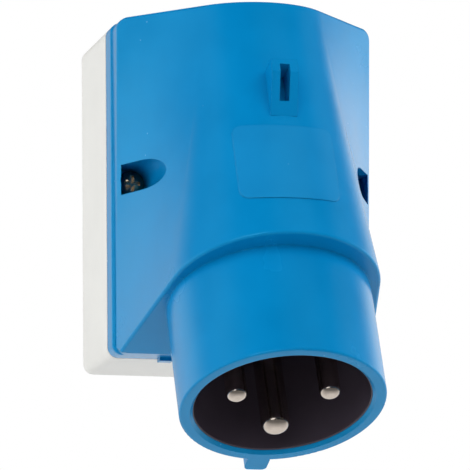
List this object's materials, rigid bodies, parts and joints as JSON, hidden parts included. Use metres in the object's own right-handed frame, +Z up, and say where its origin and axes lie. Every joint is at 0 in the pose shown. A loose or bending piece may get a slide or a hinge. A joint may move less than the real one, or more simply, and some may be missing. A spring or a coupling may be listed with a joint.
{
  "type": "wall-mounted appliance inlet",
  "caption": "Wall-mounted appliance inlet with a slanted round collar round its contact pins, a screwed-on cover with a locking lug, and a shallow box that fixes to the wall.",
  "frame": {"origin": "middle of the wall face of the rear box", "axes": "+Z up, +X to the right seen from the front, +Y into the wall; the front looks along -Y"},
  "size_m": [0.076, 0.1052, 0.1359],
  "materials": {
    "cover_blue": "satin moulded plastic",
    "box_grey": "satin moulded plastic",
    "seal_rubber": "matt black rubber",
    "carrier_dark": "matt black moulded plastic",
    "contact_nickel": "nickel-plated brass",
    "screw_steel": "plated steel",
    "insert_brass": "plain brass"
  },
  "bodies": {
    "root": {"front_cover": "cover_blue", "rear_box": "box_grey", "cover_gasket": "seal_rubber", "carrier_seal": "seal_rubber", "cable_grommet": "seal_rubber", "contact_carrier": "carrier_dark", "pin_retainer": "carrier_dark", "earth_pin": "contact_nickel", "line_pin": "contact_nickel", "neutral_pin": "contact_nickel", "cover_screw_left": "screw_steel", "cover_screw_right": "screw_steel", "carrier_screw_left": "screw_steel", "carrier_screw_right": "screw_steel", "retainer_screw": "screw_steel", "earth_terminal_screw": "screw_steel", "line_terminal_screw": "screw_steel", "neutral_terminal_screw": "screw_steel", "screw_insert_left": "insert_brass", "screw_insert_right": "insert_brass"}
  },
  "joints": []
}
